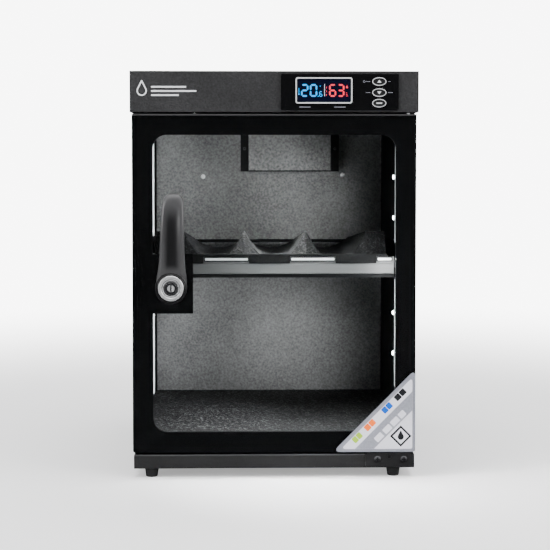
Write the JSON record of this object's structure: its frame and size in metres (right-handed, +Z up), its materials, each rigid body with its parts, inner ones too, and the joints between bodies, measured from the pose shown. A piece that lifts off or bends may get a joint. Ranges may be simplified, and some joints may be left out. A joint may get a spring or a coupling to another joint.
{
  "type": "dry storage cabinet",
  "caption": "Electronic dry cabinet with a hinged glass door, lever lock, lens shelf, floor mat, lamp strips and a control panel on top.",
  "frame": {"origin": "centre of the whole object's footprint, on the surface that the feet stand on", "axes": "+X to the right seen from the front, +Y to the back, +Z up"},
  "size_m": [0.282, 0.349, 0.4],
  "materials": {
    "housing_paint": "fine textured dark grey powder coat",
    "liner_paint": "textured mid grey powder coat",
    "black_steel": "satin black paint",
    "gloss_black": "gloss black",
    "black_plastic": "satin black moulding",
    "display": "dark blue display window",
    "bright_steel": "nickel plated",
    "aluminium": "satin",
    "lamp_tape": "white lamp tape",
    "foam": "black closed-cell foam",
    "rubber": "matt black",
    "glass": "clear float glass",
    "circuit_board": "green solder mask",
    "ceramic": "white ceramic"
  },
  "bodies": {
    "cabinet": {"base_pan": "housing_paint", "top_housing": "housing_paint", "cabinet_shell": "liner_paint", "back_panel": "liner_paint", "unit_cover": "liner_paint", "hinge_bracket_lower": "black_steel", "hinge_bracket_upper": "black_steel", "hinge_screw_left": "black_steel", "hinge_screw_right": "black_steel", "shelf_trim": "black_steel", "shelf_rail_left": "black_steel", "shelf_rail_right": "black_steel", "shelf_rear_rod": "black_steel", "unit_rail_left": "black_steel", "unit_rail_right": "black_steel", "rear_vent_cover": "black_steel", "control_panel": "gloss_black", "power_inlet": "black_plastic", "humidity_sensor": "black_plastic", "display_module": "display", "display_bezel": "bright_steel", "back_screw_left": "bright_steel", "back_screw_right": "bright_steel", "hinge_pin_lower": "bright_steel", "hinge_pin_upper": "bright_steel", "strike_plate": "bright_steel", "shelf_tray": "aluminium", "light_channel_left_upper": "aluminium", "light_channel_left_lower": "aluminium", "light_channel_right_upper": "aluminium", "light_channel_right_lower": "aluminium", "cold_block": "aluminium", "heat_sink": "aluminium", "light_strip_upper": "lamp_tape", "light_strip_lower": "lamp_tape", "shelf_pad": "foam", "floor_mat": "foam", "foot_front_left": "rubber", "foot_rear_left": "rubber", "foot_front_right": "rubber", "foot_rear_right": "rubber", "control_board": "circuit_board", "power_board": "circuit_board", "cooler_module": "ceramic"},
    "door": {"door_glass": "glass", "door_frame": "gloss_black", "door_gasket": "rubber", "lock_barrel": "black_steel", "lock_nut": "bright_steel"},
    "handle": {"handle_lever": "black_plastic", "handle_ring": "bright_steel", "lock_tongue": "bright_steel", "tongue_screw": "bright_steel"},
    "key_cylinder": {"key_plug": "bright_steel"},
    "up_button": {"button_up": "black_plastic"},
    "down_button": {"button_down": "black_plastic"},
    "mode_button": {"button_mode": "black_plastic"}
  },
  "joints": [
    {"name": "door_hinge", "type": "hinge", "parent": "cabinet", "child": "door", "pos_m": [0.1315, -0.1423, 0.19], "axis": [0, 0, 1], "range_deg": [0, 110]},
    {"name": "handle_turn", "type": "hinge", "parent": "door", "child": "handle", "pos_m": [-0.1002, -0.1515, 0.1896], "axis": [0, 1, 0], "range_deg": [0, 90]},
    {"name": "key_turn", "type": "hinge", "parent": "handle", "child": "key_cylinder", "pos_m": [-0.1002, -0.1515, 0.1896], "axis": [0, 1, 0], "range_deg": [0, 90]},
    {"name": "up_button_press", "type": "slide", "parent": "cabinet", "child": "up_button", "axis": [0, 1, 0], "range_m": [0, 0.0008], "stiffness_N_per_m": 400},
    {"name": "down_button_press", "type": "slide", "parent": "cabinet", "child": "down_button", "axis": [0, 1, 0], "range_m": [0, 0.0008], "stiffness_N_per_m": 400},
    {"name": "mode_button_press", "type": "slide", "parent": "cabinet", "child": "mode_button", "axis": [0, 1, 0], "range_m": [0, 0.0008], "stiffness_N_per_m": 400}
  ]
}
